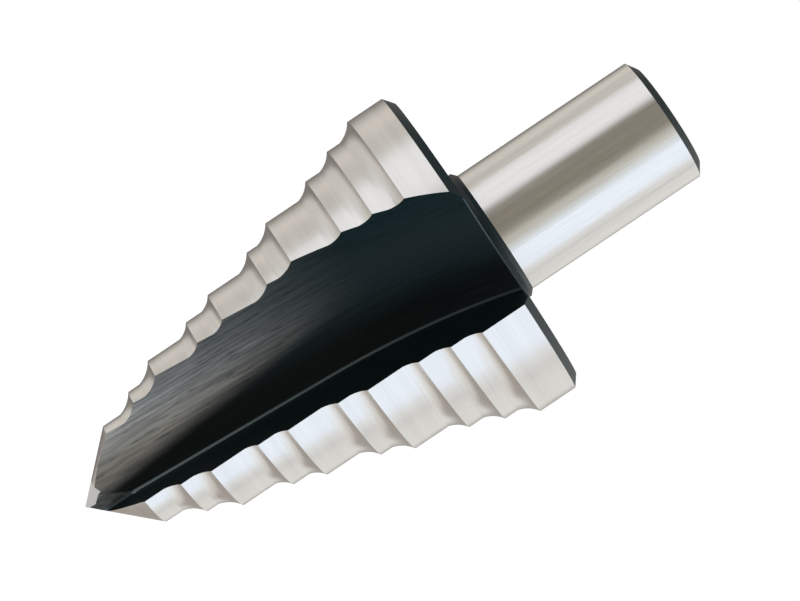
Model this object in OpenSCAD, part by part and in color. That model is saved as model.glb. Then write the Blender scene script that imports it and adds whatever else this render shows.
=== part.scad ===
// Step drill: one ground bar with ten relieved steps, two straight flutes,
// a split point and a plain round shank. Millimetres.
// It stands on the shank end, point up. The cutting faces are parallel to XZ.

/* [Shank] */
// Diameter of the round shank
shank_d = 12.7; // [10:0.1:13]
// Length of the ground shank, from its end to the collar
shank_len = 19.5; // [12:0.5:40]
// Width of the chamfer at the shank end, measured across the radius
shank_chamfer_w = 1.05; // [0.3:0.05:2]
// Height of the chamfer at the shank end, measured along the axis
shank_chamfer_h = 0.7; // [0.3:0.05:2]
// Diameter of the collar between the shank and the steps
collar_d = 13.7; // [13.2:0.1:15]
// Length of the collar, with its bevel
collar_len = 1.1; // [0.8:0.1:5]
// Length of the bevel from the shank up to the collar
collar_bevel = 0.45; // [0.2:0.05:0.7]

/* [Step diameters] */
// Cutting diameter of step 1, at the point
step_1_d = 11.0; // [10:0.1:12]
// Cutting diameter of step 2
step_2_d = 13.7; // [13:0.1:14.6]
// Cutting diameter of step 3
step_3_d = 16.5; // [15.6:0.1:17.2]
// Cutting diameter of step 4
step_4_d = 18.5; // [18:0.1:19.2]
// Cutting diameter of step 5
step_5_d = 20.5; // [20:0.1:21.5]
// Cutting diameter of step 6
step_6_d = 23.0; // [22.3:0.1:24]
// Cutting diameter of step 7
step_7_d = 25.6; // [24.8:0.1:26.4]
// Cutting diameter of step 8
step_8_d = 27.9; // [27.2:0.1:28.8]
// Cutting diameter of step 9
step_9_d = 30.3; // [29.6:0.1:31.2]
// Cutting diameter of step 10, the largest
step_10_d = 32.8; // [32:0.1:34.5]

/* [Step lengths] */
// Length of step 1, from its front corner to that of step 2
step_1_len = 3.7; // [2.8:0.05:6]
// Length of step 2
step_2_len = 3.1; // [2.6:0.05:6]
// Length of step 3
step_3_len = 4.95; // [2.6:0.05:7]
// Length of step 4
step_4_len = 3.1; // [2.6:0.05:6]
// Length of step 5
step_5_len = 5.2; // [2.6:0.05:7]
// Length of step 6
step_6_len = 2.95; // [2.6:0.05:6]
// Length of step 7
step_7_len = 5.25; // [2.6:0.05:7]
// Length of step 8
step_8_len = 3.2; // [2.6:0.05:6]
// Length of step 9
step_9_len = 3.1; // [2.6:0.05:6]
// Length of step 10, from its front corner to the back of the body
step_10_len = 5.05; // [3:0.05:8]
// Width of the chamfer round the back of the body, across the radius
back_chamfer_w = 1.05; // [0.3:0.05:1.5]
// Height of the chamfer round the back of the body, along the axis
back_chamfer_h = 0.8; // [0.3:0.05:1.5]

/* [Ground fronts] */
// Angle across the whole point, in degrees
point_angle = 90; // [80:1:118]
// Angle between the axis and the hollow front of a step, at its sharp corner
front_angle = 58; // [50:1:70]
// Angle between the axis and the hollow front, where it leaves the step before
front_start = 18; // [14:1:24]

/* [Relief behind the cutting edges] */
// Tilt of each front and of the point behind its cutting edge, in degrees
front_relief = 2.0; // [0.5:0.1:3]
// Sideways shift of each ground land toward its cutting edge
land_relief = 0.12; // [0.04:0.01:0.25]
// Angle by which the highest spot of both lies ahead of the cutting edge
relief_lead = 60; // [40:1:75]

/* [Flutes] */
// Distance of each cutting face behind the plane through the axis
face_offset = 0.6; // [0:0.05:1.2]
// Distance from the axis to the root of the flute at the tip of the point
web_at_tip = 1.65; // [1.2:0.05:2.2]
// Angle between the root of the flute and the axis, in degrees
web_taper = 8.7; // [5:0.1:11]
// Radius of the hollow heel wall of the flute
heel_r = 11.9; // [10.5:0.1:14]
// Angle by which the heel wall first dips below square to the cutting face
heel_dip = 31.8; // [24:0.2:36]
// Radius at the root, between the cutting face and the heel wall
root_r = 0.25; // [0.1:0.05:0.5]
// Radius of the grinding wheel that leaves the run-out of the flute
wheel_r = 45; // [35:1:60]
// Distance from the back of the body to where the run-out starts
runout_len = 19.3; // [15:0.1:22]

/* [Split point] */
// Distance from the tip to the thinning facet
split_gap = 0.02; // [0:0.01:0.1]
// Angle between the thinning facet and the axis, in degrees
split_slope = 22.8; // [20:0.2:26]
// Direction the facet looks in, turned from the cutting edge into the flute
split_turn = 43; // [39:1:47]
// Turn of the facet's square edges in its own plane
split_roll = 15.5; // [10:0.5:20]
// Length of the facet, down from the tip
split_len = 2.42; // [1.8:0.02:2.8]
// Width of the facet, from the tip to its edge beside the gash
split_side = 0.78; // [0.5:0.02:1]

/* [Gash] */
// Distance from the tip to the back wall of the gash
gash_gap = 0.2; // [0.12:0.01:0.3]
// Angle between the back wall and the axis, in degrees
gash_slope = 24; // [21:0.5:28]
// Direction the back wall looks in, turned from the flute past the cutting edge
gash_turn = 10; // [6:0.5:14]
// Lean of the gash's face, which meets the cutting edge near the tip
gash_roll = 15; // [12:0.5:18]
// Distance from the tip to the face of the gash
gash_face = 1.45; // [1.3:0.01:1.6]

/* [Hidden] */
$fn = 144;

step_d = [step_1_d, step_2_d, step_3_d, step_4_d, step_5_d,
          step_6_d, step_7_d, step_8_d, step_9_d, step_10_d];
step_len = [step_1_len, step_2_len, step_3_len, step_4_len, step_5_len,
            step_6_len, step_7_len, step_8_len, step_9_len, step_10_len];
steps = len(step_d);
last = steps - 1;

// Height of the back of the body, and of the front corner of step k
body_z = shank_len + collar_len;
function front_z(k) = k > last ? body_z : front_z(k + 1) + step_len[k];
tip_z = front_z(0) + step_d[0] / 2 / tan(point_angle / 2);

// Radius of land k about its own shifted centre
function land_r(k) = step_d[k] / 2 - land_relief * cos(relief_lead);
// Radius of the arc in the hollow front of step k, from the rise to that step
function front_r(k) =
    (step_d[k] - step_d[k - 1]) / 2 / (cos(front_start) - cos(front_angle));
// Each land runs on this far under the front of the next one
lap = 1.2;
// The blank and the cutters run on this far past what they meet
spare = 2;

// Wheel path: the root leaves its straight line at runout_z
runout_z = body_z + runout_len;
runout_x = web_at_tip + (tip_z - runout_z) * tan(web_taper);
heel_v = heel_r * sin(heel_dip);
heel_c = wheel_r - heel_r * cos(heel_dip);
// The root round reaches a hair past both walls, so that it crosses them cleanly
root_lap = 0.003;
cut_len = (tip_z - runout_z) / cos(web_taper) + wheel_r * tan(web_taper) + spare;

// The gash runs out in the flute before it is this far down from the tip
gash_reach = 1.3 * step_1_d / 2;
// Edge of the cube that stands for the wheel at the point
point_cutter = 3 * step_1_d / 2;

// Turned blank of one land, about its own centre line
module land_blank(k) {
    low = k == last ? body_z : front_z(k + 1) - lap;
    high = k == 0 ? tip_z : front_z(k - 1) - lap / 2;
    r = land_r(k);
    if (k == last)
        rotate_extrude()
            polygon([[0, low - 2 * lap], [r - back_chamfer_w, low - 2 * lap],
                     [r - back_chamfer_w, low], [r, low + back_chamfer_h],
                     [r, high], [0, high]]);
    else
        translate([0, 0, low]) cylinder(r = r, h = high - low);
}

// Body of revolution under the hollow front of step k
module hollow_front(k) {
    a = front_r(k);
    z = front_z(k);
    r = land_r(k);
    low = (k == last ? body_z - 2 * lap : front_z(k + 1)) - 2 * lap;
    cz = z + a * sin(front_angle);
    cr = r + a * cos(front_angle);
    top = cz - a * sin(front_start / 3);
    rotate_extrude()
        difference() {
            translate([0, low]) square([cr, top - low]);
            translate([cr, cz]) circle(r = a);
        }
}

// One step of one half: the land cut to length by its tilted front
module relieved_step(k) {
    pivot = k == 0 ? tip_z
        : front_z(k) + front_r(k) * (sin(front_angle) - sin(front_start)) / 2;
    rotate([0, 0, relief_lead])
        intersection() {
            translate([land_relief, 0, 0]) land_blank(k);
            translate([k == 0 ? 0 : land_relief, 0, pivot])
                rotate([0, -front_relief, 0])
                    translate([0, 0, -pivot])
                        if (k == 0) point_cone(); else hollow_front(k);
        }
}

// Cone of the point, its apex on the axis
module point_cone() {
    h = tip_z - front_z(1) + 2 * lap;
    translate([0, 0, tip_z - h])
        cylinder(r1 = h * tan(point_angle / 2), r2 = 0, h = h);
}

// What the profile grinding takes off on one side of the axis
module ground_away() {
    reach = step_d[last];
    difference() {
        rotate([0, 0, relief_lead / 2])
            translate([-reach, -2 * reach, body_z - lap])
                cube([2 * reach, 2 * reach, tip_z - body_z + 4 * lap]);
        for (k = [0 : last]) relieved_step(k);
    }
}

// Section of the grinding wheel: x from its spindle, y from the cutting face
module wheel_section() {
    fr = heel_r - root_r + root_lap;
    fy = root_r - root_lap;
    fx = heel_c + sqrt(pow(fr, 2) - pow(heel_v - fy, 2));
    d = [fx - heel_c, fy - heel_v] / fr;
    difference() {
        intersection() {
            union() {
                translate([heel_c, heel_v]) circle(r = heel_r);
                translate([0, heel_v - heel_r]) square([heel_c, 2 * heel_r]);
            }
            square([wheel_r + heel_r, heel_v + heel_r]);
        }
        difference() {
            polygon([[fx, fy], [fx, -root_r],
                     [fx + 4 * root_r, -root_r], [fx, fy] + 3 * root_r * d]);
            translate([fx, fy]) circle(r = root_r);
        }
    }
}

// Space cut by the wheel: straight along the tapered web, then its own round
module flute() {
    translate([runout_x + wheel_r * cos(web_taper), -face_offset,
               runout_z + wheel_r * sin(web_taper)])
        rotate([0, 180 - web_taper, 0])
            rotate([-90, 0, 0]) {
                rotate_extrude() wheel_section();
                translate([0, cut_len, 0])
                    rotate([90, 0, 0])
                        linear_extrude(height = cut_len) wheel_section();
            }
}

// Space that a square-edged wheel takes off at the point: its facet looks turn
// degrees round from the cutting edge and leans slope degrees from the axis
module point_cut(turn, slope, roll, corner) {
    translate([0, 0, tip_z])
        rotate([0, 0, turn])
            rotate([0, -slope, 0])
                rotate([roll, 0, 0])
                    translate(corner) cube(point_cutter);
}

// Flat facet that thins the web at the point
module thinning_cut() {
    point_cut(split_turn, split_slope, split_roll, [split_gap, -split_side, -split_len]);
}

// Notch behind the facet, with the face of the inner cutting edge
module gash_cut() {
    point_cut(-gash_turn, gash_slope, gash_roll, [gash_gap, -gash_face, -gash_reach]);
}

// Shank and collar, turned in one
module shank() {
    r = shank_d / 2;
    c = collar_d / 2;
    rotate_extrude()
        polygon([[0, 0], [r - shank_chamfer_w, 0], [r, shank_chamfer_h],
                 [r, shank_len], [c, shank_len + collar_bevel],
                 [c, body_z + lap / 2], [0, body_z + lap / 2]]);
}

// Bar with its two flutes
module fluted_bar() {
    difference() {
        translate([0, 0, body_z])
            cylinder(d = step_d[last] + spare, h = tip_z - body_z + lap);
        for (a = [0, 180]) rotate([0, 0, a]) flute();
    }
}

// Fluted bar with the web thinned at the point
module thinned_bar() {
    difference() {
        fluted_bar();
        for (a = [0, 180])
            rotate([0, 0, a]) {
                thinning_cut();
                gash_cut();
            }
    }
}

// The steps of one side are ground first, then those of the other
module ground_body() {
    difference() {
        difference() {
            thinned_bar();
            ground_away();
        }
        rotate([0, 0, 180]) ground_away();
    }
}

module step_drill() {
    color("silver")
        union() {
            shank();
            ground_body();
        }
}

step_drill();
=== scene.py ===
"""Looks of a two-flute step drill: ground lands, black-oxide flutes, a lit tent and a camera."""

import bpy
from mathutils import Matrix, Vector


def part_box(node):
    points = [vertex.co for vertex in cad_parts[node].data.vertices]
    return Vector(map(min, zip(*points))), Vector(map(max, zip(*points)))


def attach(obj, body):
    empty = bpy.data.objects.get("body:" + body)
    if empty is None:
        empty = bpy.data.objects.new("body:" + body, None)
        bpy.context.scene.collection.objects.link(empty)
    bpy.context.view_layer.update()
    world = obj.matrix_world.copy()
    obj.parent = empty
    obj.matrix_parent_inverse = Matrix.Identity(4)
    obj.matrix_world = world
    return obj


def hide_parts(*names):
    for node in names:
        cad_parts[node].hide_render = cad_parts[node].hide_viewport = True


bl_info = {
    "name": "Step Drill Looks",
    "version": (1, 0, 0),
    "blender": (4, 5, 0),
    "location": "View3D > Sidebar > Step Drill",
    "description": "Gives the step drill its ground and blackened steel, and sets its stage",
    "category": "Object",
}

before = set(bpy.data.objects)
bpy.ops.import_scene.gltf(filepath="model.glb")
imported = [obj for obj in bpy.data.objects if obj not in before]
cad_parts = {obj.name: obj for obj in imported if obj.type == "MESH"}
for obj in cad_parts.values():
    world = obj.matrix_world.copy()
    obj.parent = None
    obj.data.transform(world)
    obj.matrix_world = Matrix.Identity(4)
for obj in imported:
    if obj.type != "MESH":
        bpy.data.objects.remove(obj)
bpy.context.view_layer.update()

import math

import bmesh
import bpy
from bpy.props import FloatProperty, FloatVectorProperty, PointerProperty
from mathutils import Matrix, Vector

NODE = "step_drill"
DRESSED = "step_drill_dressed"
AXIS = Vector((0, 0, 1))

# Height of the drill's tip, and a length that is too small to see, in metres
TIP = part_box(NODE)[1].z
HAIR = 0.00002

# Order of the drill's finishes in its material slots
GROUND, POINT, OXIDE, SHANK, COLLAR, BACK = range(6)

# Pitch of the grinding wheel's fine lines, of their slow change, and of turned lines
FINE_LINES = 0.00025
BROAD_LINES = 0.0014
TURNED_LINES = 0.0003

# Streaks along the polished shank: width and length
FINE_POLISH = (0.00014, 0.0022)
BROAD_POLISH = (0.0006, 0.014)

# Streaks along the path of the flute's wheel: width and length
FINE_STREAKS = (0.00026, 0.006)
BROAD_STREAKS = (0.0011, 0.03)
SCRATCHES = (0.0002, 0.0028)

# Levels of a noise: nearly all of them, and those that are the most common
ALL_NOISE = (0.3, 0.7)
MID_NOISE = (0.35, 0.65)

# Where the flute's painted sheen changes: at the edge of its dark root, then less at this
# distance past the axis, toward the heel, and more at these heights, toward the tip
SHEEN_EDGE = (-0.0006, 0.0014)
HEEL = (0.004, 0.008)
TIP_HEIGHTS = (0.052, 0.062)

# Painted shade in the flute's root: the oxide's share of its colour at the root, and the
# distance past the axis where it goes from that to its full colour
ROOT_SHADE_SHARE = 0.3
ROOT_SHADE_REACH = (0.0012, 0.0042)

# The painted highlight line in the root: its two sides, from the cutting face, its reach in
# depth, and its strength at the body's back
ROOT_LINE_LOW = (HAIR, 0.0001)
ROOT_LINE_HIGH = (0.0003, 0.00018)
ROOT_LINE_DEEP = (0.0004, 0.0003)
ROOT_LINE_FADED = 0.15

# The light line in the gash's crease: its reach on the gash's face and on its wall, and
# its strength
GASH_LINE_ON_FACE = (0.0002, 0.0001)
GASH_LINE_ON_WALL = (0.00014, 0.00007)
GASH_LINE_SHARE = 0.85

# The painted highlight on the edge at the flute's back: its width, from none to full, and its
# strength
BACK_LINE = (0.00016, 0.00004)
BACK_LINE_SHARE = 0.6

# Soft panels of the tent, each laid over those before it: direction round from the
# camera, half width, soft edge, lowest and highest angle, and colour of its light
PANELS = (
    ("dim rear", 180, 32, 10, -90, 90, (0.38, 0.36, 0.33)),
    ("left wall", -120, 38, 8, -90, 90, (0.85, 0.83, 0.80)),
    ("right wall", 114, 32, 10, -25, 90, (0.63, 0.60, 0.545)),
    ("warm sheet", 126, 9, 8, -25, 50, (0.76, 0.705, 0.65)),
    ("high left", -122, 28, 10, 24, 90, (0.76, 0.72, 0.66)),
    ("high rear", 186, 41, 8, 20, 90, (0.40, 0.36, 0.32)),
    ("high right", 132, 19, 6, 12, 33, (0.68, 0.64, 0.59)),
    ("high fill", 98, 14, 8, 28, 60, (0.76, 0.75, 0.73)),
    ("dark corner", 168, 14, 6, -12, 90, (0.20, 0.18, 0.17)),
    ("warm edge", -28, 13, 6, -40, 30, (0.63, 0.61, 0.54)),
    ("high key", -92, 18, 8, 26, 72, (0.96, 0.98, 1.00)),
    ("key wall", -61.5, 25.5, 6, -60, 60, (1.03, 1.11, 1.21)),
    ("seam", -104, 5, 5, -60, 30, (0.72, 0.72, 0.69)),
    ("fill wall", 65, 24, 7, -25, 50, (1.00, 0.995, 1.00)),
    ("hood", 0, 44, 8, 34, 90, (0.10, 0.095, 0.09)),
    ("roof", 0, 180, 1, 64, 90, (0.44, 0.40, 0.36)),
    ("dark right foot", 60, 100, 10, -90, -30, (0.12, 0.12, 0.12)),
)

# Light of the tent where it has no panel
DIM_FRONT = (0.27, 0.245, 0.20)


class DrillSizes(bpy.types.PropertyGroup):
    """Sizes of the drill that its finishes follow."""

    shank_len: FloatProperty(
        name="Shank length", description="Length of the ground shank, below the collar",
        default=0.0195, unit="LENGTH")
    shank_r: FloatProperty(
        name="Shank radius", description="Radius of the round shank",
        default=0.00635, unit="LENGTH")
    body_z: FloatProperty(
        name="Body height", description="Height of the back of the stepped body",
        default=0.0206, unit="LENGTH")
    back_r: FloatProperty(
        name="Back radius", description="Radius of the body outside its back chamfer",
        default=0.0164, unit="LENGTH")
    back_wide: FloatProperty(
        name="Back chamfer width", description="Width of the back chamfer, across the radius",
        default=0.00105, unit="LENGTH")
    back_high: FloatProperty(
        name="Back chamfer height", description="Height of the back chamfer along the axis",
        default=0.0008, unit="LENGTH")
    point_len: FloatProperty(
        name="Point length", description="Height of the point above the first step",
        default=0.0055, unit="LENGTH")
    face_offset: FloatProperty(
        name="Face offset", description="Distance of the flute's cutting face from the axis",
        default=0.0006, unit="LENGTH")
    web_taper: FloatProperty(
        name="Web taper", description="Angle between the flute's root and the axis",
        default=math.radians(8.7), subtype="ANGLE")
    web_at_tip: FloatProperty(
        name="Web at the tip", description="Distance from the axis to the root at the tip",
        default=0.00165, unit="LENGTH")
    runout_len: FloatProperty(
        name="Run-out length", description="Distance from the body's back to the run-out",
        default=0.0193, unit="LENGTH")
    wheel_r: FloatProperty(
        name="Wheel radius", description="Radius of the wheel that ground the flutes",
        default=0.045, unit="LENGTH")
    gash_gap: FloatProperty(
        name="Gash gap", description="Distance from the tip to the gash's wall",
        default=0.0002, unit="LENGTH")
    gash_face: FloatProperty(
        name="Gash face", description="Distance from the tip to the gash's face",
        default=0.00145, unit="LENGTH")
    gash_turn: FloatProperty(
        name="Gash turn", description="Direction of the gash's wall, from the cutting edge",
        default=math.radians(-10), subtype="ANGLE")
    gash_slope: FloatProperty(
        name="Gash slope", description="Angle between the gash's wall and the axis",
        default=math.radians(24), subtype="ANGLE")
    gash_roll: FloatProperty(
        name="Gash roll", description="Lean of the gash's face",
        default=math.radians(15), subtype="ANGLE")
    crease: FloatProperty(
        name="Crease angle", description="Faces that meet at more than this stay creased",
        default=math.radians(20), subtype="ANGLE")


class DrillFinish(bpy.types.PropertyGroup):
    """Colours, surface and wear of the drill's steel, and its painted sheen and painted
    highlights.
    """

    ground_colour: FloatVectorProperty(
        name="Ground steel", description="Colour of the bright ground steel",
        default=(0.80, 0.795, 0.785), size=3, subtype="COLOR", min=0, max=1)
    oxide_colour: FloatVectorProperty(
        name="Black oxide", description="Colour of the blackened flutes",
        default=(0.010, 0.027, 0.032), size=3, subtype="COLOR", min=0, max=1)
    # Painted sheen: grey metal painted on the flute's oxide near the point
    sheen_colour: FloatVectorProperty(
        name="Painted sheen", description="Colour of the painted sheen on the oxide near the point",
        default=(0.43, 0.425, 0.41), size=3, subtype="COLOR", min=0, max=1)
    # Painted highlights: light lines painted in the flute's root and on its back edge; the same
    # colour serves the light line in the gash's crease
    light_line_colour: FloatVectorProperty(
        name="Highlight lines", description="Colour of the painted highlights at root and back, and of the light line in the gash",
        default=(0.25, 0.33, 0.36), size=3, subtype="COLOR", min=0, max=1)
    turned_lift: FloatProperty(
        name="Turned oxide", description="How much lighter the oxide of the turned faces is",
        default=1.2, min=0.0)
    # Heights over which the painted sheen comes in
    sheen_low: FloatProperty(
        name="Sheen from", description="Height at which the painted sheen starts",
        default=0.031, unit="LENGTH")
    sheen_high: FloatProperty(
        name="Sheen to", description="Height above which the painted sheen is full",
        default=0.054, unit="LENGTH")
    # Band at the root that the painted sheen leaves dark
    dark_root: FloatProperty(
        name="Dark root", description="Width of the band at the root without painted sheen, where the sheen starts",
        default=0.0045, unit="LENGTH")
    dark_root_tip: FloatProperty(
        name="Dark root at the tip", description="Width of the band at the root without painted sheen, at the tip",
        default=0.0002, unit="LENGTH")
    # Painted sheen: stronger at the tip, weaker toward the heel
    tip_sheen: FloatProperty(
        name="Sheen at the tip", description="How much stronger the painted sheen is at the tip",
        default=1.45, min=0.0)
    heel_sheen: FloatProperty(
        name="Sheen at the heel", description="How much weaker the painted sheen is at the heel",
        default=0.6, min=0.0)
    gash_wear: FloatProperty(
        name="Wear of the gash", description="Share of the oxide worn off the gash's wall",
        default=0.23, min=0.0, max=1.0, subtype="FACTOR")
    ground_rough: FloatProperty(
        name="Ground roughness", description="Roughness of the bright ground steel",
        default=0.24, min=0.0, max=1.0, subtype="FACTOR")
    oxide_rough: FloatProperty(
        name="Oxide roughness", description="Roughness of the blackened flutes",
        default=0.42, min=0.0, max=1.0, subtype="FACTOR")
    shank_rough: FloatProperty(
        name="Shank roughness", description="Roughness of the polished shank",
        default=0.22, min=0.0, max=1.0, subtype="FACTOR")


class DrillStage(bpy.types.PropertyGroup):
    """Camera, floor and light tent."""

    camera_far: FloatProperty(
        name="Camera distance", description="Distance from the drill's axis to the camera",
        default=0.3391, unit="LENGTH")
    camera_high: FloatProperty(
        name="Camera height", description="Height of the camera above the floor",
        default=0.03046, unit="LENGTH")
    camera_side: FloatProperty(
        name="Camera side shift", description="Sideways place of the camera",
        default=-0.000357, unit="LENGTH")
    camera_turn: FloatProperty(
        name="Camera turn", description="Direction of the camera round the drill, from +X",
        default=math.radians(22.7), subtype="ANGLE")
    camera_roll: FloatProperty(
        name="Camera roll", description="Direction in the picture of the drill's side",
        default=math.radians(123.86), subtype="ANGLE")
    lens: FloatProperty(
        name="Lens", description="Focal length of the camera on a 36 mm sensor",
        default=163.0, unit="CAMERA")
    floor_r: FloatProperty(
        name="Floor radius", description="Radius of the pale floor",
        default=0.6, unit="LENGTH")
    floor_glow: FloatProperty(
        name="Floor white", description="Brightness of the pale floor",
        default=1.0, min=0.0)
    tent_r: FloatProperty(
        name="Tent radius", description="Radius of the white tent",
        default=1.6, unit="LENGTH")
    tent_glow: FloatProperty(
        name="Tent white", description="Brightness of the white tent",
        default=1.05, min=0.0)


class NodeTree:
    """A node tree that is built one node at a time."""

    def __init__(self, tree):
        self.tree = tree
        tree.nodes.clear()

    def add(self, kind, **settings):
        """Adds a node. A setting is an attribute, or else the value of a socket."""
        node = self.tree.nodes.new(kind)
        for key, value in settings.items():
            if hasattr(node, key):
                setattr(node, key, value)
            else:
                self.give(node, key.replace("_", " "), value)
        return node

    def give(self, node, socket, value):
        """Sets a socket to a value, or links an output to it."""
        if isinstance(value, bpy.types.NodeSocket):
            self.tree.links.new(value, node.inputs[socket])
        else:
            node.inputs[socket].default_value = value

    def math(self, operation, a, b=0.0, clamp=False):
        """One step of arithmetic. A clamped result stays from 0 to 1."""
        node = self.add("ShaderNodeMath", operation=operation, use_clamp=clamp)
        self.give(node, 0, a)
        self.give(node, 1, b)
        return node.outputs[0]

    def product(self, first, *others):
        """Multiplies its values."""
        for other in others:
            first = self.math("MULTIPLY", first, other)
        return first

    def diagonal(self, a, b):
        """Length of the line that goes a one way and b square to it."""
        return self.math("SQRT", self.math("ADD", self.product(a, a), self.product(b, b)))

    def mix(self, factor, a, b):
        """Mixes two colours, which have sockets 6 and 7, and output 2."""
        node = self.add("ShaderNodeMix", data_type="RGBA")
        self.give(node, 0, factor)
        self.give(node, 6, a)
        self.give(node, 7, b)
        return node.outputs[2]

    def span(self, value, low, high, out_low=0.0, out_high=1.0, smooth=False):
        """Maps a range of one value to another, and stops at its ends."""
        node = self.add("ShaderNodeMapRange", clamp=True, interpolation_type=(
            "SMOOTHSTEP" if smooth else "LINEAR"))
        for socket, number in enumerate((value, low, high, out_low, out_high)):
            self.give(node, socket, number)
        return node.outputs[0]


def deselect():
    """Leaves nothing selected, in object mode."""
    if bpy.context.object and bpy.context.object.mode != "OBJECT":
        bpy.ops.object.mode_set(mode="OBJECT")
    bpy.ops.object.select_all(action="DESELECT")


def pick(obj):
    """Makes one object the only one selected."""
    deselect()
    obj.select_set(True)
    bpy.context.view_layer.objects.active = obj


def new_material(name):
    """A material with a steel shader, and its node tree."""
    material = bpy.data.materials.new(name)
    material.use_nodes = True
    tree = NodeTree(material.node_tree)
    out = tree.add("ShaderNodeOutputMaterial")
    steel = tree.add("ShaderNodeBsdfPrincipled", Metallic=1.0)
    tree.give(out, "Surface", steel.outputs[0])
    return material, tree, steel


def place_of(tree):
    """X, Y and Z of a point on the drill, in metres."""
    parts = tree.add("ShaderNodeSeparateXYZ")
    tree.give(parts, 0, tree.add("ShaderNodeTexCoord").outputs["Object"])
    return parts.outputs[0], parts.outputs[1], parts.outputs[2]


def grain(tree, place, width, length):
    """Noise from 0 to 1, stretched along the last of its three directions."""
    where = tree.add("ShaderNodeCombineXYZ")
    for socket, (value, size) in enumerate(zip(place, (width, width, length))):
        tree.give(where, socket, tree.math("MULTIPLY", value, 1 / size))
    noise = tree.add("ShaderNodeTexNoise", Scale=1.0, Detail=4.0, Roughness=0.6)
    tree.give(noise, "Vector", where.outputs[0])
    return noise.outputs[0]


def lines_round(tree, place, pitch):
    """Fine lines that run round the drill, about pitch metres apart."""
    return grain(tree, place, 50 * pitch, pitch)


def brighten(tree, steel, colour, shade):
    """Gives the steel a colour that is lighter or darker by a shade near 1."""
    bright = tree.add("ShaderNodeVectorMath", operation="SCALE")
    tree.give(bright, 0, Vector(colour))
    tree.give(bright, "Scale", shade)
    tree.give(steel, "Base Color", bright.outputs[0])


def roughen(tree, steel, rough, noise, levels, share):
    """Gives the steel a roughness that a noise changes by a share of it, up and down."""
    tree.give(steel, "Roughness", tree.span(
        noise, *levels, rough * (1 - share), rough * (1 + share)))


def emboss(tree, steel, height, strength, distance):
    """Raises the lines of a noise a little."""
    bump = tree.add("ShaderNodeBump", Strength=strength, Distance=distance)
    tree.give(bump, "Height", height)
    tree.give(steel, "Normal", bump.outputs[0])


def ground_steel(name, finish):
    """Bright steel with the fine lines that a grinding wheel leaves round it."""
    material, tree, steel = new_material(name)
    place = place_of(tree)
    fine = lines_round(tree, place, FINE_LINES)
    broad = lines_round(tree, place, BROAD_LINES)
    brighten(tree, steel, finish.ground_colour, tree.product(
        tree.span(broad, *MID_NOISE, 0.95, 1.02),
        tree.span(fine, *ALL_NOISE, 0.975, 1.015)))
    roughen(tree, steel, finish.ground_rough, broad, ALL_NOISE, share=0.1)
    emboss(tree, steel, fine, strength=0.06, distance=0.00002)
    return material


def polished_steel(name, finish):
    """Bright steel of the shank, with faint streaks where it was polished along its length."""
    material, tree, steel = new_material(name)
    place = place_of(tree)
    fine = grain(tree, place, *FINE_POLISH)
    broad = grain(tree, place, *BROAD_POLISH)
    brighten(tree, steel, finish.ground_colour, tree.product(
        tree.span(broad, *MID_NOISE, 0.95, 1.03),
        tree.span(fine, *ALL_NOISE, 0.965, 1.02)))
    roughen(tree, steel, finish.shank_rough, broad, MID_NOISE, share=0.2)
    return material


def turned_oxide(name, finish):
    """Blackened steel of the turned faces, with fine lines round them."""
    material, tree, steel = new_material(name)
    lines = lines_round(tree, place_of(tree), TURNED_LINES)
    dark = Vector(finish.oxide_colour) * finish.turned_lift
    tree.give(steel, "Base Color", tree.mix(lines, (*(dark * 0.8), 1), (*(dark * 1.2), 1)))
    tree.give(steel, "Metallic", 0.0)
    tree.give(steel, "Roughness", finish.oxide_rough)
    return material


def flute_place(tree, sizes):
    """Where a point is for the flute's wheel: depth, side, way along its path, and height."""
    x, y, z = place_of(tree)
    turn = math.cos(sizes.web_taper), math.sin(sizes.web_taper)
    runout_z = sizes.body_z + sizes.runout_len
    runout_x = sizes.web_at_tip + (TIP - runout_z) * turn[1] / turn[0]
    spindle_x = runout_x + sizes.wheel_r * turn[0]
    spindle_z = runout_z + sizes.wheel_r * turn[1]
    dx = tree.math("SUBTRACT", tree.math("ABSOLUTE", x), spindle_x)
    dz = tree.math("SUBTRACT", z, spindle_z)
    across = tree.math("ADD", tree.product(dx, turn[0]), tree.product(dz, turn[1]))
    along = tree.math("SUBTRACT", tree.product(dz, turn[0]), tree.product(dx, turn[1]))
    depth = tree.diagonal(across, tree.math("MINIMUM", along, 0.0))
    side = tree.product(y, tree.math("SIGN", x))
    return depth, side, along, z


def gash_looks(sizes):
    """Directions in which the wall and the face of the gash look."""
    turned = (Matrix.Rotation(sizes.gash_turn, 3, "Z")
              @ Matrix.Rotation(-sizes.gash_slope, 3, "Y")
              @ Matrix.Rotation(sizes.gash_roll, 3, "X"))
    return turned.col[0], turned.col[1]


def gash_place(tree, sizes):
    """How far a point is from the planes of the gash's wall and of its face."""
    x, y, z = place_of(tree)
    from_tip = (tree.math("ABSOLUTE", x), tree.product(y, tree.math("SIGN", x)),
                tree.math("SUBTRACT", z, TIP))
    gaps = []
    for look, offset in zip(gash_looks(sizes), (sizes.gash_gap, -sizes.gash_face)):
        gap = -offset
        for value, share in zip(from_tip, look):
            gap = tree.math("ADD", tree.product(value, share), gap)
        gaps.append(tree.math("ABSOLUTE", gap))
    return gaps


def flute_sheen(tree, finish, side, z):
    """Share of the flute's oxide under a painted sheen of grey metal: most at the point, none at
    the root.
    """
    dark_root = tree.span(z, finish.sheen_low, TIP, finish.dark_root, finish.dark_root_tip)
    past_root = tree.math("SUBTRACT", side, dark_root)
    return tree.product(
        tree.span(z, finish.sheen_low, finish.sheen_high, smooth=True),
        tree.span(past_root, *SHEEN_EDGE, smooth=True),
        tree.span(side, *HEEL, 1.0, finish.heel_sheen),
        tree.span(z, *TIP_HEIGHTS, 1.0, finish.tip_sheen))


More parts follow.
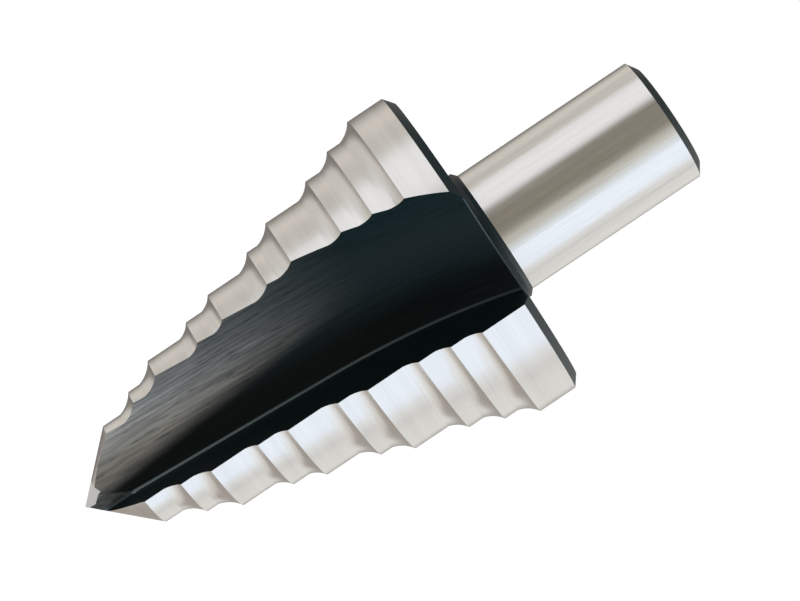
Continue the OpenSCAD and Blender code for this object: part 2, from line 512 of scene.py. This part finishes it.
def gash_wear(tree, sizes, finish, depth, over_face, from_wall):
    """Share of the oxide that is worn off the gash's wall, and off nothing else."""
    past_flute = tree.math("MAXIMUM", tree.span(over_face, HAIR, 2 * HAIR),
                           tree.span(depth, sizes.wheel_r, sizes.wheel_r + HAIR))
    return tree.product(past_flute, tree.span(from_wall, 2 * HAIR, HAIR, 0.0, finish.gash_wear))


def rubbing(tree, fine, broad, scratch):
    """How the streaks change the painted sheen and the wear: less in the dark ones, more in the
    light scratches.
    """
    return tree.product(
        tree.span(fine, 0.38, 0.60, 0.55, 0.95),
        tree.span(broad, *MID_NOISE, 0.8, 1.0),
        tree.span(scratch, 0.34, 0.42, 0.45, 1.0),
        tree.span(scratch, 0.60, 0.70, 1.0, 1.25))


def root_highlight(tree, sizes, depth, over_face, z):
    """A painted highlight line in the flute's root, beside its cutting face, fading to the back.
    """
    from_root = tree.math("ABSOLUTE", tree.math("SUBTRACT", depth, sizes.wheel_r))
    return tree.product(
        tree.span(over_face, *ROOT_LINE_LOW, smooth=True),
        tree.span(over_face, *ROOT_LINE_HIGH, smooth=True),
        tree.span(from_root, *ROOT_LINE_DEEP),
        tree.span(z, sizes.body_z, TIP, ROOT_LINE_FADED, 1.0))


def gash_line(tree, from_wall, from_face):
    """The light line in the crease between the gash's wall and its face."""
    return tree.product(tree.span(from_wall, *GASH_LINE_ON_FACE, 0.0, GASH_LINE_SHARE),
                        tree.span(from_face, *GASH_LINE_ON_WALL))


def back_highlight(tree, sizes, z):
    """A painted highlight on the edge where the flute meets the body's back and its chamfer."""
    x, y = place_of(tree)[:2]
    body_r = tree.span(z, sizes.body_z, sizes.body_z + sizes.back_high,
                       sizes.back_r - sizes.back_wide, sizes.back_r)
    inside = tree.math("SUBTRACT", body_r, tree.diagonal(x, y))
    inside = tree.math("MINIMUM", inside, tree.math("SUBTRACT", z, sizes.body_z))
    gone_above = sizes.body_z + 0.9 * sizes.back_high
    full_below = sizes.body_z + 0.7 * sizes.back_high
    return tree.product(tree.span(inside, *BACK_LINE),
                        tree.span(z, gone_above, full_below, 0.0, BACK_LINE_SHARE))


def flute_oxide(name, sizes, finish):
    """Blackened steel, streaked along the path of the flute's wheel, with a painted sheen at the
    point, painted shade in the root and painted highlight lines.
    """
    material, tree, steel = new_material(name)
    depth, side, along, z = flute_place(tree, sizes)
    fine, broad, scratch = (grain(tree, (depth, side, along), *streaks)
                            for streaks in (FINE_STREAKS, BROAD_STREAKS, SCRATCHES))
    over_face = tree.math("ADD", side, sizes.face_offset)
    from_wall, from_face = gash_place(tree, sizes)
    # worn: a painted sheen of grey metal near the point, and the wear of the gash's wall
    worn = tree.math("MAXIMUM", flute_sheen(tree, finish, side, z),
                     gash_wear(tree, sizes, finish, depth, over_face, from_wall))
    worn = tree.math("MULTIPLY", worn, rubbing(tree, fine, broad, scratch), clamp=True)
    # rim: painted highlight lines in the root and on the back edge, and the light line in the
    # gash's crease
    rim = tree.math("MAXIMUM", root_highlight(tree, sizes, depth, over_face, z),
                    gash_line(tree, from_wall, from_face))
    rim = tree.math("MAXIMUM", rim, back_highlight(tree, sizes, z))
    # Painted shade: the oxide darkens toward black deep in the root
    root_shade = tree.span(side, *ROOT_SHADE_REACH, ROOT_SHADE_SHARE, 1.0, smooth=True)
    shade_and_grain = tree.product(root_shade, tree.span(fine, *ALL_NOISE, 0.6, 1.2))
    colour = tree.mix(shade_and_grain, (0, 0, 0, 1), (*finish.oxide_colour, 1))
    colour = tree.mix(worn, colour, (*finish.sheen_colour, 1))
    colour = tree.mix(rim, colour, (*finish.light_line_colour, 1))
    tree.give(steel, "Base Color", colour)
    tree.give(steel, "Metallic", tree.math("MAXIMUM", worn, rim))
    tree.give(steel, "Specular IOR Level", 0.15)
    roughen(tree, steel, finish.oxide_rough, fine, ALL_NOISE, share=0.15)
    emboss(tree, steel, fine, strength=0.35, distance=0.00004)
    return material


def island_of(start, crease):
    """The faces that hang together with one face, up to the creased edges."""
    island, open_faces = {start}, [start]
    while open_faces:
        face = open_faces.pop()
        for edge in face.edges:
            if len(edge.link_faces) != 2 or edge.calc_face_angle(math.pi) > crease:
                continue
            for other in edge.link_faces:
                if other not in island:
                    island.add(other)
                    open_faces.append(other)
    return island


def looks_round(face):
    """How much a face looks round the axis, as a flute's does, and not away from it."""
    out = Vector((*face.calc_center_median().xy, 0)).normalized()
    return abs(face.normal.dot(out.cross(AXIS)))


def faces_gash(look, sizes):
    """Whether a flat face looks the way that the wall of either gash does."""
    wall = gash_looks(sizes)[0]
    other_wall = Vector((-wall.x, -wall.y, wall.z))
    nearly_same = 0.999
    return max(look.dot(wall), look.dot(other_wall)) > nearly_same


def finish_of(island, sizes):
    """Which finish a smooth stretch of the drill's surface has."""
    area = sum(face.calc_area() for face in island)
    look = sum((face.normal * face.calc_area() for face in island), Vector()) / area
    round_about = sum(looks_round(face) * face.calc_area() for face in island) / area
    corners = [vert.co for face in island for vert in face.verts]
    low = min(corner.z for corner in corners)
    high = max(corner.z for corner in corners)
    far = max(corner.xy.length for corner in corners)
    if high < sizes.shank_len + HAIR and far < sizes.shank_r + HAIR:
        return SHANK if high - low > sizes.shank_len / 2 else COLLAR
    if high < sizes.body_z + HAIR:
        near_shank = far < 1.3 * sizes.shank_r
        return COLLAR if near_shank else BACK
    on_point = low > TIP - sizes.point_len
    near_point = low > TIP - 1.2 * sizes.point_len
    looks_up = look.z > 0.4
    looks_down = look.z < -0.3
    looks_out = round_about < 0.15
    if on_point or (near_point and looks_up):
        return OXIDE if faces_gash(look, sizes) else POINT
    if looks_down:
        return BACK
    return GROUND if looks_out else OXIDE


class DrillLooks(bpy.types.Operator):
    """Dresses a copy of the drill's solid: a finish for each surface, and even shading"""

    bl_idname = "step_drill.dress"
    bl_label = "Dress the drill"

    def execute(self, context):
        sizes = context.scene.drill_sizes
        finish = context.scene.drill_finish
        drill = bpy.data.objects.new(DRESSED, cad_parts[NODE].data.copy())
        context.scene.collection.objects.link(drill)
        drill.data.materials.clear()
        for material in (
                ground_steel("ground_body", finish),
                ground_steel("ground_point", finish),
                flute_oxide("flute_oxide", sizes, finish),
                polished_steel("shank_steel", finish),
                turned_oxide("collar_oxide", finish),
                turned_oxide("back_oxide", finish)):
            drill.data.materials.append(material)
        pick(drill)
        self.keep_normals(drill.data)
        bpy.ops.mesh.customdata_custom_splitnormals_clear()
        bpy.ops.object.mode_set(mode="EDIT")
        bpy.ops.mesh.select_all(action="SELECT")
        bpy.ops.mesh.remove_doubles(threshold=1e-7)
        bpy.ops.object.mode_set(mode="OBJECT")
        self.give_finishes(drill, sizes)
        bpy.ops.object.shade_smooth_by_angle(angle=sizes.crease)
        self.give_normals(drill.data)
        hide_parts(NODE)
        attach(drill, "root")
        return {"FINISHED"}

    def keep_normals(self, mesh):
        """Keeps the solid's exact normals with the corners of its faces."""
        exact = [0.0] * (3 * len(mesh.corner_normals))
        mesh.corner_normals.foreach_get("vector", exact)
        kept = mesh.attributes.new("exact_normal", "FLOAT_VECTOR", "CORNER")
        kept.data.foreach_set("vector", exact)

    def give_normals(self, mesh):
        """Gives the merged mesh the kept normals, so that its round faces shade evenly."""
        kept = mesh.attributes["exact_normal"]
        mesh.normals_split_custom_set([corner.vector.copy() for corner in kept.data])
        mesh.attributes.remove(mesh.attributes["exact_normal"])

    def give_finishes(self, drill, sizes):
        """Gives each smooth stretch of the surface its material."""
        mesh = bmesh.new()
        mesh.from_mesh(drill.data)
        todo = set(mesh.faces)
        while todo:
            island = island_of(next(iter(todo)), sizes.crease)
            todo -= island
            finish = finish_of(island, sizes)
            for face in island:
                face.material_index = finish
        mesh.to_mesh(drill.data)
        mesh.free()


class StageSet(bpy.types.Operator):
    """Sets the floor, the white tent, the tent's light and the camera"""

    bl_idname = "step_drill.stage"
    bl_label = "Set the stage"

    def execute(self, context):
        stage = context.scene.drill_stage
        context.scene.view_settings.view_transform = "Standard"
        self.add_floor(stage)
        self.add_tent(stage)
        self.light(context.scene, stage)
        self.add_camera(context.scene, stage)
        return {"FINISHED"}

    def add_floor(self, stage):
        """Pale floor that the drill stands on."""
        deselect()
        bpy.ops.mesh.primitive_circle_add(
            vertices=96, radius=stage.floor_r, fill_type="NGON", location=(0, 0, 0))
        self.whiten(bpy.context.object, "floor", stage.floor_glow)

    def add_tent(self, stage):
        """White tent all round."""
        deselect()
        bpy.ops.mesh.primitive_uv_sphere_add(
            segments=48, ring_count=24, radius=stage.tent_r, location=(0, 0, 0))
        self.whiten(bpy.context.object, "tent", stage.tent_glow)

    def whiten(self, piece, name, strength):
        """Makes a piece of the stage glow white for the camera, and light nothing."""
        piece.name = name
        material = bpy.data.materials.new(name + "_white")
        material.use_nodes = True
        tree = NodeTree(material.node_tree)
        out = tree.add("ShaderNodeOutputMaterial")
        glow = tree.add("ShaderNodeEmission", Color=(1, 1, 1, 1), Strength=strength)
        tree.give(out, "Surface", glow.outputs[0])
        piece.data.materials.append(material)
        for sees in ("visible_diffuse", "visible_glossy", "visible_transmission",
                     "visible_volume_scatter", "visible_shadow"):
            setattr(piece, sees, False)

    def light(self, scene, stage):
        """Soft light by direction: the panels of the tent round a dim front."""
        world = bpy.data.worlds.new("tent_light")
        world.use_nodes = True
        scene.world = world
        tree = NodeTree(world.node_tree)
        parts = tree.add("ShaderNodeSeparateXYZ")
        tree.give(parts, 0, tree.add("ShaderNodeTexCoord").outputs["Generated"])
        turn = tree.math("ARCTAN2", parts.outputs[1], parts.outputs[0])
        turn = tree.math("SUBTRACT", turn, stage.camera_turn)
        height = tree.math("ARCSINE", parts.outputs[2])
        light = (*DIM_FRONT, 1)
        for name, aim, half, soft, low, high, colour in PANELS:
            aim, half, soft = map(math.radians, (aim, half, soft))
            apart = tree.math("ARCCOSINE", tree.math("COSINE", tree.math("SUBTRACT", turn, aim)))
            shape = tree.span(apart, half + soft, half - soft, smooth=True)
            for end, inward in ((low, soft / 2), (high, -soft / 2)):
                if abs(end) < 90:
                    end = math.radians(end)
                    shape = tree.product(
                        shape, tree.span(height, end - inward, end + inward, smooth=True))
            light = tree.mix(shape, light, (*colour, 1))
            light.node.label = name
        background = tree.add("ShaderNodeBackground", Strength=1.0)
        tree.give(background, "Color", light)
        out = tree.add("ShaderNodeOutputWorld")
        tree.give(out, "Surface", background.outputs[0])

    def add_camera(self, scene, stage):
        """Camera that looks square at the axis, rolled so that the point is at lower left."""
        back = Vector((math.cos(stage.camera_turn), math.sin(stage.camera_turn), 0))
        side = AXIS.cross(back)
        right = side * math.cos(stage.camera_roll) - AXIS * math.sin(stage.camera_roll)
        up = side * math.sin(stage.camera_roll) + AXIS * math.cos(stage.camera_roll)
        place = back * stage.camera_far + side * stage.camera_side + AXIS * stage.camera_high
        lens = bpy.data.cameras.new("camera")
        lens.lens = stage.lens
        lens.clip_start = 0.01
        lens.clip_end = 10
        camera = bpy.data.objects.new("camera", lens)
        scene.collection.objects.link(camera)
        turned = Matrix((right, up, back)).transposed().to_4x4()
        camera.matrix_world = Matrix.Translation(place) @ turned
        scene.camera = camera


class DrillPanel(bpy.types.Panel):
    """Lists the drill's tools in the sidebar"""

    bl_idname = "VIEW3D_PT_step_drill"
    bl_label = "Step Drill"
    bl_space_type = "VIEW_3D"
    bl_region_type = "UI"
    bl_category = "Step Drill"

    def draw(self, context):
        column = self.layout.column()
        for key, group in GROUPS.items():
            for name in group.__annotations__:
                column.prop(getattr(context.scene, key), name)
        column.operator(DrillLooks.bl_idname)
        column.operator(StageSet.bl_idname)


GROUPS = {"drill_sizes": DrillSizes, "drill_finish": DrillFinish, "drill_stage": DrillStage}
CLASSES = (*GROUPS.values(), DrillLooks, StageSet, DrillPanel)


def register():
    for cls in CLASSES:
        bpy.utils.register_class(cls)
    for name, group in GROUPS.items():
        setattr(bpy.types.Scene, name, PointerProperty(type=group))


def unregister():
    for name in GROUPS:
        delattr(bpy.types.Scene, name)
    for cls in reversed(CLASSES):
        bpy.utils.unregister_class(cls)


def main():
    register()
    bpy.ops.step_drill.dress()
    bpy.ops.step_drill.stage()


if __name__ == "__main__":
    main()
